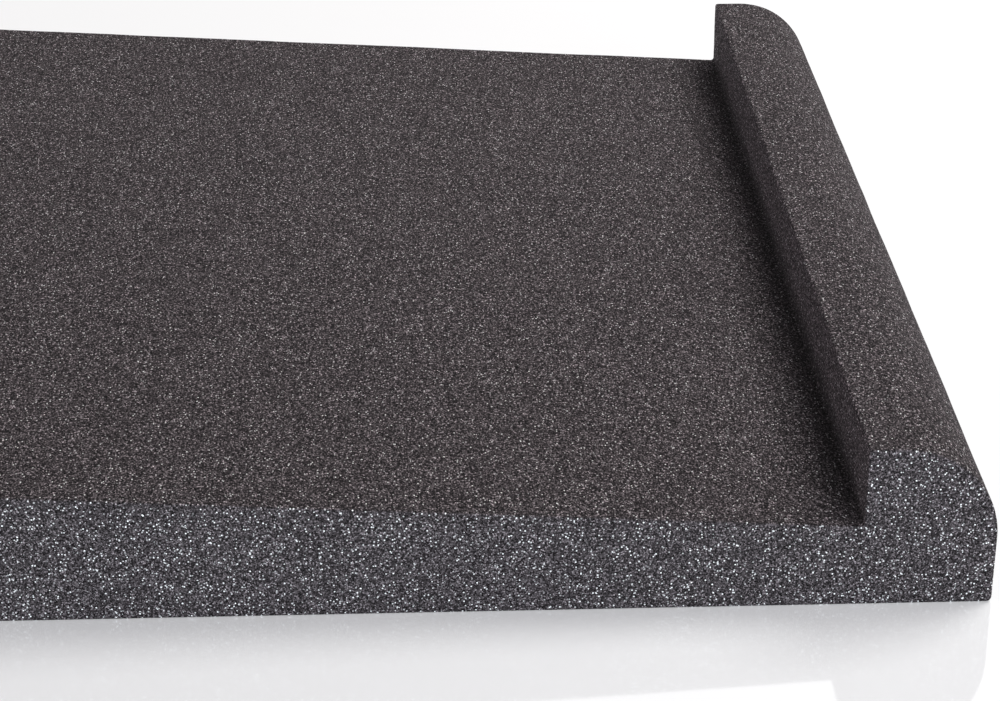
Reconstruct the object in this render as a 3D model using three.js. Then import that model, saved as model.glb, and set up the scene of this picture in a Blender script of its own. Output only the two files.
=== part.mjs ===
// Speaker isolation pad: a wedge of charcoal open-cell foam that a studio loudspeaker stands on.
// The bed slopes down to a raised stop with a round outer shoulder, which keeps the speaker from
// sliding off. The whole pad is one block, contour-cut from a flat slab of foam by a thin wire.
// Millimetres. The origin is the middle of the underside, +X points to the stop, +Z is up.
import * as THREE from "three";
import { mergeVertices } from "three/addons/utils/BufferGeometryUtils.js";

// Overall size of the block
const PAD_LENGTH = 360;
const PAD_WIDTH = 310;

// Heights above the underside: the stop's top, and the bed at each of its two ends
const STOP_HEIGHT = 40;
const BED_HEIGHT_AT_THICK_END = 40;
const BED_HEIGHT_AT_STOP = 20.5;

// The stop and the rounding of its cross-section
const STOP_WIDTH = 30.5;
const SHOULDER_RADIUS = 23;
const ROOT_RADIUS = 1;

// Foam keeps no knife edge: each cut edge is softened a little
const CREST_EDGE_RADIUS = 0.8;
const BASE_EDGE_RADIUS = 1.2;
const SIDE_EDGE_RADIUS = 0.5;

// A side edge stays below this share of the smallest outer radius that it runs round
const LARGEST_SIDE_EDGE_SHARE = 0.7;

// How far a flat facet may lie from the arc that it stands for
const CHORD_ERROR = 0.02;

const FOAM_COLOUR = 0x4d494c;
const FOAM_ROUGHNESS = 0.95;

// Facets that keep an arc of this radius and sweep (radians) within the chord error.
function arcSteps(radius, sweep) {
  const facetSweep = 2 * Math.acos(1 - CHORD_ERROR / radius);
  return Math.ceil(sweep / facetSweep);
}

// The points of the arc that rounds a corner between its two neighbours.
function roundedCorner(previous, corner, next) {
  const back = previous.at.clone().sub(corner.at).normalize();
  const ahead = next.at.clone().sub(corner.at).normalize();
  const halfAngle = Math.acos(back.dot(ahead)) / 2;
  const bisector = back.clone().add(ahead).normalize();
  const centre = corner.at.clone().addScaledVector(bisector, corner.radius / Math.sin(halfAngle));
  const tangentLength = corner.radius / Math.tan(halfAngle);
  const start = corner.at.clone().addScaledVector(back, tangentLength).sub(centre);
  const turnsLeft = back.cross(ahead) < 0;
  const sweep = Math.PI - 2 * halfAngle;
  const from = start.angle();
  const to = turnsLeft ? from + sweep : from - sweep;
  const { radius } = corner;
  const arc = new THREE.EllipseCurve(centre.x, centre.y, radius, radius, from, to, !turnsLeft);
  return arc.getPoints(arcSteps(radius, sweep));
}

// The pad's cross-section, seen with the stop on the right: x along the pad, y up.
function crossSection() {
  const thickEnd = -PAD_LENGTH / 2;
  const stopEnd = PAD_LENGTH / 2;
  const stopWall = stopEnd - STOP_WIDTH;
  const corners = [
    { at: new THREE.Vector2(thickEnd, 0), radius: BASE_EDGE_RADIUS },
    { at: new THREE.Vector2(stopEnd, 0), radius: BASE_EDGE_RADIUS },
    { at: new THREE.Vector2(stopEnd, STOP_HEIGHT), radius: SHOULDER_RADIUS },
    { at: new THREE.Vector2(stopWall, STOP_HEIGHT), radius: CREST_EDGE_RADIUS },
    { at: new THREE.Vector2(stopWall, BED_HEIGHT_AT_STOP), radius: ROOT_RADIUS },
    { at: new THREE.Vector2(thickEnd, BED_HEIGHT_AT_THICK_END), radius: CREST_EDGE_RADIUS },
  ];
  const count = corners.length;
  return corners.flatMap((corner, i) =>
    roundedCorner(corners[(i + count - 1) % count], corner, corners[(i + 1) % count]),
  );
}

// The cross-section extruded across the pad's width, with both side faces' edges softened.
function padGeometry() {
  const smallestRadius = Math.min(CREST_EDGE_RADIUS, BASE_EDGE_RADIUS, SHOULDER_RADIUS);
  const sideEdge = Math.min(SIDE_EDGE_RADIUS, LARGEST_SIDE_EDGE_SHARE * smallestRadius);
  const extruded = new THREE.ExtrudeGeometry(new THREE.Shape(crossSection()), {
    depth: PAD_WIDTH - 2 * sideEdge,
    steps: 1,
    bevelEnabled: true,
    bevelThickness: sideEdge,
    bevelSize: sideEdge,
    bevelOffset: -sideEdge,
    bevelSegments: arcSteps(sideEdge, Math.PI / 2),
  });
  extruded.translate(0, 0, sideEdge - PAD_WIDTH / 2);
  extruded.rotateX(Math.PI / 2);
  extruded.deleteAttribute("normal");
  extruded.deleteAttribute("uv");
  const merged = mergeVertices(extruded);
  merged.computeVertexNormals();
  return merged;
}

const foam = new THREE.MeshStandardMaterial({
  color: FOAM_COLOUR,
  roughness: FOAM_ROUGHNESS,
  metalness: 0,
  flatShading: true,
});

const foamPad = new THREE.Mesh(padGeometry(), foam);
foamPad.name = "foam_pad";

const group = new THREE.Group();
group.add(foamPad);

export default group;
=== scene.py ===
# Speaker isolation pad: a wedge of charcoal open-cell foam with a raised stop, on a white table.
# Metres throughout. The origin is the middle of the pad's underside, +X points to the stop.
import math

import bmesh
import bpy
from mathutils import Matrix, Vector, noise


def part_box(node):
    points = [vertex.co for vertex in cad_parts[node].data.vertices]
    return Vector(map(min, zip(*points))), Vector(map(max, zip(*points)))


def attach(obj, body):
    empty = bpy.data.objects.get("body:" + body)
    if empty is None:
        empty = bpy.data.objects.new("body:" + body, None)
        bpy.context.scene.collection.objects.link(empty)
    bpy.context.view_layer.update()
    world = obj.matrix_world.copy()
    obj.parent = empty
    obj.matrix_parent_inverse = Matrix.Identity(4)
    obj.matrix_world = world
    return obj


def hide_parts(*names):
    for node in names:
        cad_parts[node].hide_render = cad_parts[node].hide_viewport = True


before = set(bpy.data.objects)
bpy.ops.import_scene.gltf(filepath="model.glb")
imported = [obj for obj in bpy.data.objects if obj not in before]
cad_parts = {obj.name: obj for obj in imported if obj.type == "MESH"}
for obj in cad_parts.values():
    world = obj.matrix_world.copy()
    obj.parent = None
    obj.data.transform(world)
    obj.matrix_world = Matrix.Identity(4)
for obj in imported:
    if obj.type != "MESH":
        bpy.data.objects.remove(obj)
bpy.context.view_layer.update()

# Camera
# A long lens a little above the near right part of the pad, looking down along the stop.
CAMERA_PLACE = Vector((0.04711, -0.66928, 0.31893))
CAMERA_PITCH = math.radians(26.127)
CAMERA_YAW = math.radians(2.197)
FOCAL_LENGTH_MM = 94.88
SENSOR_WIDTH_MM = 36.0
NEAREST_SEEN = 0.01

camera = bpy.data.objects.new("camera", bpy.data.cameras.new("camera"))
camera.data.sensor_width = SENSOR_WIDTH_MM
camera.data.lens = FOCAL_LENGTH_MM
camera.data.clip_start = NEAREST_SEEN
camera.location = CAMERA_PLACE
camera.rotation_euler = (math.pi / 2 - CAMERA_PITCH, 0, -CAMERA_YAW)
bpy.context.scene.collection.objects.link(camera)
bpy.context.scene.camera = camera

# Foam block
# The whole pad is one block of open-cell polyurethane foam. A thin oscillating wire cuts its
# outline out of a flat slab: underside, sloping bed, stop and round shoulder. The two side faces
# are straight cuts across the slab.
MM = 0.001
STOP_WIDTH = 30.5 * MM
BED_HEIGHT_AT_STOP = 20.5 * MM
SHOULDER_RADIUS = 23 * MM
ROOT_RADIUS = 1 * MM
CREST_EDGE_RADIUS = 0.8 * MM
BASE_EDGE_RADIUS = 1.2 * MM
SIDE_EDGE_RADIUS = 0.5 * MM

# Flat facets on each rounding, the step of the grid on the large faces, and two tolerances
SHOULDER_FACETS = 24
ROOT_FACETS = 6
EDGE_FACETS = 4
SIDE_EDGE_FACETS = 3
GRID_STEP = 2.5 * MM
SAME_PLACE = 1e-6
ON_PLANE = 1e-7

pad_low, pad_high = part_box("foam_pad")
stop_wall = pad_high.x - STOP_WIDTH


def edges_along_y(mesh, x, z):
    """The edges parallel to Y that stand at one corner of the cross-section."""
    def here(vertex):
        return math.hypot(vertex.co.x - x, vertex.co.z - z) < SAME_PLACE
    return [e for e in mesh.edges if all(here(v) for v in e.verts)]


def length_along_y(edge):
    return abs(edge.verts[0].co.y - edge.verts[1].co.y)


def round_edges(mesh, edges, radius, facets):
    bmesh.ops.bevel(
        mesh, geom=edges, offset=radius, offset_type="OFFSET",
        affect="EDGES", segments=facets, profile=0.5, material=-1,
    )


def cut_planes(mesh, low, high, normal):
    """Cuts the whole mesh by evenly spaced planes, so that its large faces get a grid."""
    count = round((high - low) / GRID_STEP)
    for i in range(1, count):
        place = normal * (low + (high - low) * i / count)
        geometry = mesh.verts[:] + mesh.edges[:] + mesh.faces[:]
        bmesh.ops.bisect_plane(
            mesh, geom=geometry, dist=ON_PLANE, plane_co=place, plane_no=normal
        )


block = bmesh.new()
corners = [
    (pad_low.x, pad_low.z, BASE_EDGE_RADIUS, EDGE_FACETS),
    (pad_high.x, pad_low.z, BASE_EDGE_RADIUS, EDGE_FACETS),
    (pad_high.x, pad_high.z, SHOULDER_RADIUS, SHOULDER_FACETS),
    (stop_wall, pad_high.z, CREST_EDGE_RADIUS, EDGE_FACETS),
    (stop_wall, BED_HEIGHT_AT_STOP, ROOT_RADIUS, ROOT_FACETS),
    (pad_low.x, pad_high.z, CREST_EDGE_RADIUS, EDGE_FACETS),
]
outline = [block.verts.new((x, pad_low.y, z)) for x, z, _, _ in corners]
near_side = block.faces.new(outline)
far_side = bmesh.ops.extrude_face_region(block, geom=[near_side])["geom"]
bmesh.ops.translate(
    block,
    verts=[v for v in far_side if isinstance(v, bmesh.types.BMVert)],
    vec=(0, pad_high.y - pad_low.y, 0),
)
bmesh.ops.recalc_face_normals(block, faces=block.faces[:])
for x, z, radius, facets in corners:
    round_edges(block, edges_along_y(block, x, z), radius, facets)
rim = [e for e in block.edges if length_along_y(e) < SAME_PLACE]
round_edges(block, rim, SIDE_EDGE_RADIUS, SIDE_EDGE_FACETS)
cut_planes(block, pad_low.x, pad_high.x, Vector((1, 0, 0)))
cut_planes(block, pad_low.z, pad_high.z, Vector((0, 0, 1)))
bmesh.ops.subdivide_edges(
    block,
    edges=[e for e in block.edges if length_along_y(e) > GRID_STEP],
    cuts=round((pad_high.y - pad_low.y) / GRID_STEP) - 1,
    use_grid_fill=True,
)

# The wire drifts by about a tenth of a millimetre as it cuts, in long waves and weaker short ones.
# The underside stays flat on the table.
DRIFT = 0.12 * MM
DRIFT_LENGTH = 28 * MM
SHORT_WAVES_PER_LONG = 3
SHORT_WAVE_SHARE = 0.5
LIFT_OFF = 3 * MM
block.normal_update()
for vertex in block.verts:
    along_wave = vertex.co / DRIFT_LENGTH
    sway = noise.noise(along_wave)
    sway += SHORT_WAVE_SHARE * noise.noise(along_wave * SHORT_WAVES_PER_LONG)
    share = min(1, max(0, (vertex.co.z - pad_low.z) / LIFT_OFF))
    vertex.co += vertex.normal * sway * DRIFT * share

# Which of the pad's two materials a face takes
CONTOUR_CUT = 0
SIDE_CUT = 1
FACES_SIDEWAYS = 0.7
for face in block.faces:
    face.smooth = True
    face.material_index = SIDE_CUT if abs(face.normal.y) > FACES_SIDEWAYS else CONTOUR_CUT

pad_mesh = bpy.data.meshes.new("isolation_pad")
block.to_mesh(pad_mesh)
block.free()
pad = bpy.data.objects.new("isolation_pad", pad_mesh)
bpy.context.scene.collection.objects.link(pad)
even_normals = pad.modifiers.new("even_normals", "WEIGHTED_NORMAL")
even_normals.weight = 100

# The foam is charcoal, with open cells of about half a millimetre, drawn out along the stop.
# Struts between the cells are dull grey and an open cell is a dark pit. Sparse white spots painted
# into the colour stand for cell windows that lie flat to the cut and catch the light: painted
# glints.
CHARCOAL = (0.0385, 0.0336, 0.0356)
PAINTED_GLINT_WHITE = (1.0, 1.0, 1.0, 1)
ROUGHNESS = 0.9
SPECULAR_LEVEL = 0.08
CELL = 0.36 * MM
GRAIN = 0.45 * MM
GLINT_CELL = 0.54 * MM
RISE_STRETCH = 1.4

# Tones are multiples of the charcoal. Struts and the painted glint spots are measured in cells.
PIT_TONE = 0.03
OPEN_CELL_TONE = 6.0
STRUT_TONE = 1.0
OPEN_CELL_RARITY = 2.2
STRUT_CORE = 0.02
STRUT_RIM = 0.2
GLINT_RIM = 0.42
GLINT_RARITY = 1.1
GRAIN_LOW = 0.25
GRAIN_HIGH = 0.75
RELIEF_STRENGTH = 0.5
RELIEF_DEPTH = 0.1 * MM

# Painted shade along the root: the foam's colour is darkened in a strip beside the root line, where
# the stop shades the crease, less so near the two side cuts.
ROOT_SHADE_REACH = 8 * MM
ROOT_SHADE_REACH_AT_CUT = 1 * MM
ROOT_SHADE_TAPER = 22 * MM


def node(tree, kind, **properties):
    made = tree.nodes.new("ShaderNode" + kind)
    for name, value in properties.items():
        setattr(made, name, value)
    return made


def feed(tree, socket, value):
    """Links a socket to another node's output, or sets it to a plain value."""
    if isinstance(value, bpy.types.NodeSocket):
        tree.links.new(value, socket)
    else:
        socket.default_value = value


def math_node(tree, operation, first, second=0.0):
    made = node(tree, "Math", operation=operation)
    feed(tree, made.inputs[0], first)
    feed(tree, made.inputs[1], second)
    return made.outputs[0]


def remap(tree, value, low, high, to_low, to_high, curve="SMOOTHSTEP"):
    made = node(tree, "MapRange", interpolation_type=curve)
    for socket, given in zip(made.inputs, (value, low, high, to_low, to_high)):
        feed(tree, socket, given)
    return made.outputs["Result"]


def mix_colours(tree, share, first, second):
    """A colour between two: a Mix node keeps those at its inputs 6 and 7, and its output 2."""
    made = node(tree, "Mix", data_type="RGBA")
    feed(tree, made.inputs[0], share)
    feed(tree, made.inputs[6], first)
    feed(tree, made.inputs[7], second)
    return made.outputs[2]


def voronoi(tree, place, size, feature):
    made = node(tree, "TexVoronoi", feature=feature)
    feed(tree, made.inputs["Vector"], place)
    feed(tree, made.inputs["Scale"], 1 / size)
    return made


def random_of(tree, cells):
    """One random number from 0 to 1 for each cell."""
    made = node(tree, "TexWhiteNoise")
    feed(tree, made.inputs["Vector"], cells.outputs["Color"])
    return made.outputs["Value"]


def painted_root_shade(tree, place, root_shade_tone):
    """Painted shade in the crease: a factor for the foam's tone by its distance from the root line,
    the given root tone there, and 1 away.
    """
    across = node(tree, "VectorMath", operation="MULTIPLY")
    feed(tree, across.inputs[0], place)
    feed(tree, across.inputs[1], (1, 0, 1))
    distance = node(tree, "VectorMath", operation="DISTANCE")
    feed(tree, distance.inputs[0], across.outputs[0])
    feed(tree, distance.inputs[1], (stop_wall, 0, BED_HEIGHT_AT_STOP))
    along = node(tree, "SeparateXYZ")
    feed(tree, along.inputs[0], place)
    from_middle = math_node(tree, "ABSOLUTE", along.outputs["Y"])
    taper_starts = pad_high.y - ROOT_SHADE_TAPER
    reach = remap(
        tree, from_middle, taper_starts, pad_high.y, ROOT_SHADE_REACH, ROOT_SHADE_REACH_AT_CUT
    )
    return remap(tree, distance.outputs["Value"], 0.0, reach, root_shade_tone, 1.0)


def foam_material(name, painted_glint_share, glint_core, grain_depth, root_shade_tone):
    material = bpy.data.materials.new(name)
    material.use_nodes = True
    tree = material.node_tree
    tree.nodes.clear()
    pad_place = node(tree, "TexCoord").outputs["Object"]
    # Painted shade beside the root line, which darkens the colour and the glints below.
    root_shade = painted_root_shade(tree, pad_place, root_shade_tone)
    along_rise = node(tree, "Mapping")
    feed(tree, along_rise.inputs["Vector"], pad_place)
    feed(tree, along_rise.inputs["Scale"], (1, 1 / RISE_STRETCH, 1))
    place = along_rise.outputs["Vector"]

    walls = voronoi(tree, place, CELL, "DISTANCE_TO_EDGE").outputs["Distance"]
    cell_random = random_of(tree, voronoi(tree, place, CELL, "F1"))
    strut = remap(tree, walls, STRUT_CORE, STRUT_RIM, 1.0, 0.0)
    openness = math_node(tree, "POWER", cell_random, OPEN_CELL_RARITY)
    pit = remap(tree, openness, 0.0, 1.0, PIT_TONE, OPEN_CELL_TONE, "LINEAR")
    tone = remap(tree, strut, 0.0, 1.0, pit, STRUT_TONE, "LINEAR")

    grain = node(tree, "TexNoise")
    feed(tree, grain.inputs["Vector"], place)
    feed(tree, grain.inputs["Scale"], 1 / GRAIN)
    feed(tree, grain.inputs["Detail"], 1.0)
    fleck = grain.outputs["Fac"]
    fleck = remap(tree, fleck, GRAIN_LOW, GRAIN_HIGH, -grain_depth, grain_depth, "LINEAR")
    tone = math_node(tree, "MULTIPLY", tone, math_node(tree, "EXPONENT", fleck))
    # Painted shade: the foam darkens towards the root line.
    tone = math_node(tree, "MULTIPLY", tone, root_shade)

    body = node(tree, "VectorMath", operation="SCALE")
    feed(tree, body.inputs[0], CHARCOAL)
    feed(tree, body.inputs["Scale"], tone)

    # Painted glints: white spots in random cells, painted highlights that stand for cell windows
    # catching the light.
    glint_cells = voronoi(tree, place, GLINT_CELL, "F1")
    chance = remap(tree, random_of(tree, glint_cells), 1 - painted_glint_share, 1.0, 0.0, 1.0, "LINEAR")
    spot = remap(tree, glint_cells.outputs["Distance"], glint_core, GLINT_RIM, 1.0, 0.0)
    glint = math_node(tree, "MULTIPLY", math_node(tree, "POWER", chance, GLINT_RARITY), spot)
    # The painted shade along the root dims the painted glints as well.
    glint = math_node(tree, "MULTIPLY", glint, root_shade)

    relief = node(tree, "Bump")
    feed(tree, relief.inputs["Strength"], RELIEF_STRENGTH)
    feed(tree, relief.inputs["Distance"], RELIEF_DEPTH)
    feed(tree, relief.inputs["Height"], strut)

    shader = node(tree, "BsdfPrincipled")
    # The painted glints turn the colour white.
    foam_colour = mix_colours(tree, glint, body.outputs[0], PAINTED_GLINT_WHITE)
    feed(tree, shader.inputs["Base Color"], foam_colour)
    feed(tree, shader.inputs["Roughness"], ROUGHNESS)
    feed(tree, shader.inputs["Specular IOR Level"], SPECULAR_LEVEL)
    feed(tree, shader.inputs["Normal"], relief.outputs["Normal"])
    output = node(tree, "OutputMaterial")
    feed(tree, output.inputs["Surface"], shader.outputs["BSDF"])
    return material


# The side cuts get more and wider painted glints than the contour cuts, a painted highlight that
# makes them sparkle more.
contour_cut_foam = foam_material(
    "contour_cut_foam", painted_glint_share=0.15, glint_core=0.2, grain_depth=1.5, root_shade_tone=0.3
)
# The side cuts take no painted shade along the root.
side_cut_foam = foam_material(
    "side_cut_foam", painted_glint_share=0.28, glint_core=0.3, grain_depth=1.1, root_shade_tone=1.0
)
pad_mesh.materials.append(contour_cut_foam)
pad_mesh.materials.append(side_cut_foam)

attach(pad, "root")
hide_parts("foam_pad")

# Table and surroundings
# A glossy white table top under the pad, which keeps the pad's shadow and mirrors its front, in a
# white studio whose even light fills the shadows.
TABLE_SIZE = 6.0
TABLE_WHITE = (0.735, 0.745, 0.76, 1)
TABLE_GLOW = 0.22
TABLE_ROUGHNESS = 0.06
TABLE_IOR = 2.2
WHITE = (1, 1, 1, 1)

table_mesh = bmesh.new()
bmesh.ops.create_grid(table_mesh, x_segments=1, y_segments=1, size=TABLE_SIZE / 2)
table_data = bpy.data.meshes.new("table")
table_mesh.to_mesh(table_data)
table_mesh.free()
table = bpy.data.objects.new("table", table_data)
bpy.context.scene.collection.objects.link(table)


def rays_that_see(tree):
    """1 for a ray from the camera, also mirrored or through glass, and 0 for a ray of light."""
    kinds = node(tree, "LightPath").outputs
    direct = math_node(tree, "MAXIMUM", kinds["Is Camera Ray"], kinds["Is Glossy Ray"])
    return math_node(tree, "MAXIMUM", direct, kinds["Is Transmission Ray"])


gloss_white = bpy.data.materials.new("gloss_white")
gloss_white.use_nodes = True
white_tree = gloss_white.node_tree
white_shader = white_tree.nodes["Principled BSDF"]
white_shader.inputs["Base Color"].default_value = TABLE_WHITE
white_shader.inputs["Roughness"].default_value = TABLE_ROUGHNESS
white_shader.inputs["IOR"].default_value = TABLE_IOR
white_shader.inputs["Emission Color"].default_value = WHITE
table_glow = remap(white_tree, rays_that_see(white_tree), 0.0, 1.0, 0.0, TABLE_GLOW, "LINEAR")
feed(white_tree, white_shader.inputs["Emission Strength"], table_glow)
table_data.materials.append(gloss_white)

AMBIENT = 0.24
AMBIENT_COLOUR = (1.0, 0.92, 0.92, 1)
world = bpy.data.worlds.new("studio")
bpy.context.scene.world = world
world.use_nodes = True
sky = world.node_tree
background = sky.nodes["Background"]
seen = rays_that_see(sky)
feed(sky, background.inputs["Color"], mix_colours(sky, seen, AMBIENT_COLOUR, WHITE))
feed(sky, background.inputs["Strength"], remap(sky, seen, 0.0, 1.0, AMBIENT, 1.0, "LINEAR"))


# Studio lights
# Two round soft boxes, a warm key above and to the right and a window at the near right, and two
# weak lights from far off, a cool one in front and one at the left. The gloss mirrors none of them.
def face_pad(name, lamp, place):
    holder = bpy.data.objects.new(name, lamp)
    holder.location = place
    holder.rotation_euler = (-place).to_track_quat("-Z", "Y").to_euler()
    holder.visible_glossy = False
    bpy.context.scene.collection.objects.link(holder)


def soft_box(name, place, diameter, strength, colour):
    """A lamp at a place in metres. Its strength is the light that it gives at the origin."""
    lamp = bpy.data.lights.new(name, "AREA")
    lamp.shape = "DISK"
    lamp.size = diameter
    lamp.energy = strength * math.pi * place.length_squared
    lamp.color = colour
    face_pad(name, lamp, place)


def far_light(name, toward, spread, strength, colour):
    lamp = bpy.data.lights.new(name, "SUN")
    lamp.angle = math.radians(spread)
    lamp.energy = strength
    lamp.color = colour
    face_pad(name, lamp, toward)


soft_box("key", Vector((0.74, 0.29, 1.05)), 0.75, strength=2.07, colour=(1.0, 0.985, 0.95))
soft_box("window", Vector((0.68, -0.85, 0.75)), 0.65, strength=0.8, colour=(0.97, 0.97, 1.0))
far_light("front", Vector((0.0, -0.997, 0.07)), 16, strength=3.2, colour=(0.80, 0.915, 1.0))
far_light("left", Vector((-0.97, -0.15, 0.2)), 16, strength=0.62, colour=(1.0, 0.92, 1.0))

bpy.context.scene.view_settings.view_transform = "Standard"
